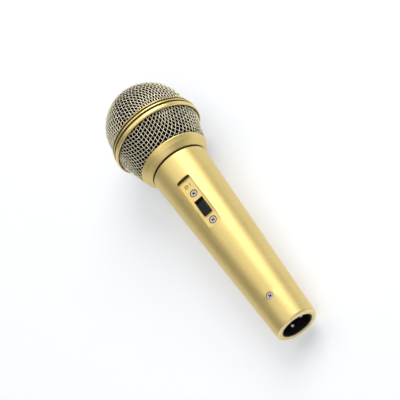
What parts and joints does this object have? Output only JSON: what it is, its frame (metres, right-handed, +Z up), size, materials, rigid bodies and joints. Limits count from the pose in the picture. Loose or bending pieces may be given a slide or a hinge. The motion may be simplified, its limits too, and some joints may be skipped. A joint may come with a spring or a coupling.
{
  "type": "handheld microphone",
  "caption": "Handheld dynamic microphone with a gold tapered handle, round wire-mesh head, slide switch and tail socket for a cable.",
  "frame": {"origin": "on the table surface that the microphone lies on, below the middle of its bounding box", "axes": "+Z up from the table; the microphone lies along X with its round head towards -X and its cable socket towards +X; the switch faces up; its own axis is tilted 6.3 degrees because the head is thicker than the tail"},
  "size_m": [0.1696, 0.0522, 0.0521],
  "materials": {
    "gold_paint": "satin champagne-gold metallic paint over a die-cast shell",
    "gold_band": "satin gold, a little glossier than the handle",
    "grille_wire": "champagne-plated woven steel wire",
    "foam": "open-cell black-brown foam",
    "rubber_black": "matte",
    "plastic_black": "fine matte moulding",
    "plastic_grey": "matte moulding",
    "felt": "pressed felt",
    "film": "clear yellowish film",
    "coil_copper": "enamelled copper wire",
    "steel": "zinc-plated pressed steel",
    "magnet_plated": "nickel-plated sintered magnet",
    "screw_nickel": "nickel-plated",
    "tinned_brass": "tinned brass",
    "contact_brass": "spring brass",
    "phenolic": "phenolic board",
    "wire_red": "PVC sleeve",
    "wire_white": "PVC sleeve",
    "wire_grey": "PVC sleeve"
  },
  "bodies": {
    "handle": {"handle": "gold_paint", "shock_mount": "rubber_black", "capsule_frame": "plastic_grey", "capsule_cap": "plastic_grey", "capsule_felt": "felt", "diaphragm_surround": "film", "pole_plate": "steel", "magnet": "magnet_plated", "magnet_cup": "steel", "rear_chamber": "plastic_black", "capsule_terminals": "tinned_brass", "switch_plate": "steel", "switch_can": "steel", "switch_base": "phenolic", "switch_terminals": "tinned_brass", "switch_screws": "screw_nickel", "socket_insert": "plastic_black", "socket_pin_1": "screw_nickel", "socket_pin_2": "screw_nickel", "socket_pin_3": "screw_nickel", "retaining_screw": "screw_nickel", "wire_capsule_to_switch": "wire_red", "wire_switch_to_pin": "wire_red", "wire_capsule_to_pin": "wire_white", "wire_ground": "wire_grey"},
    "switch_slider": {"switch_slider": "plastic_black", "switch_contact": "contact_brass"},
    "neck_ring": {"neck_seal_ring": "rubber_black"},
    "foam": {"foam_sleeve": "foam", "foam_dome": "foam"},
    "head": {"grille_collar": "gold_paint", "lower_grille": "grille_wire", "bowl_ring": "gold_band", "dome_ring": "gold_band", "upper_grille": "grille_wire"},
    "diaphragm": {"diaphragm_dome": "film", "voice_coil": "coil_copper"}
  },
  "joints": [
    {"name": "switch_slide", "type": "slide", "parent": "handle", "child": "switch_slider", "axis": [-0.994, 0, 0.1091], "range_m": [0, 0.0029]},
    {"name": "head_screw_lift", "type": "slide", "parent": "handle", "child": "neck_ring", "axis": [-0.994, 0, 0.1091], "range_m": [0, 0.006]},
    {"name": "head_pull_off", "type": "slide", "parent": "neck_ring", "child": "foam", "axis": [-0.994, 0, 0.1091], "range_m": [0, 0.08]},
    {"name": "head_turn", "type": "hinge", "parent": "foam", "child": "head", "pos_m": [0.08367, 0, 0.01118], "axis": [-0.994, 0, 0.1091], "range_deg": [0, 1440]},
    {"name": "diaphragm_travel", "type": "slide", "parent": "handle", "child": "diaphragm", "axis": [-0.994, 0, 0.1091], "range_m": [-0.00025, 0.00025], "stiffness_N_per_m": 250, "deforming": ["diaphragm_surround"]}
  ],
  "couplings": [
    {"joint": "head_screw_lift", "follows": "head_turn", "m_per_rad": 0.00023873}
  ]
}
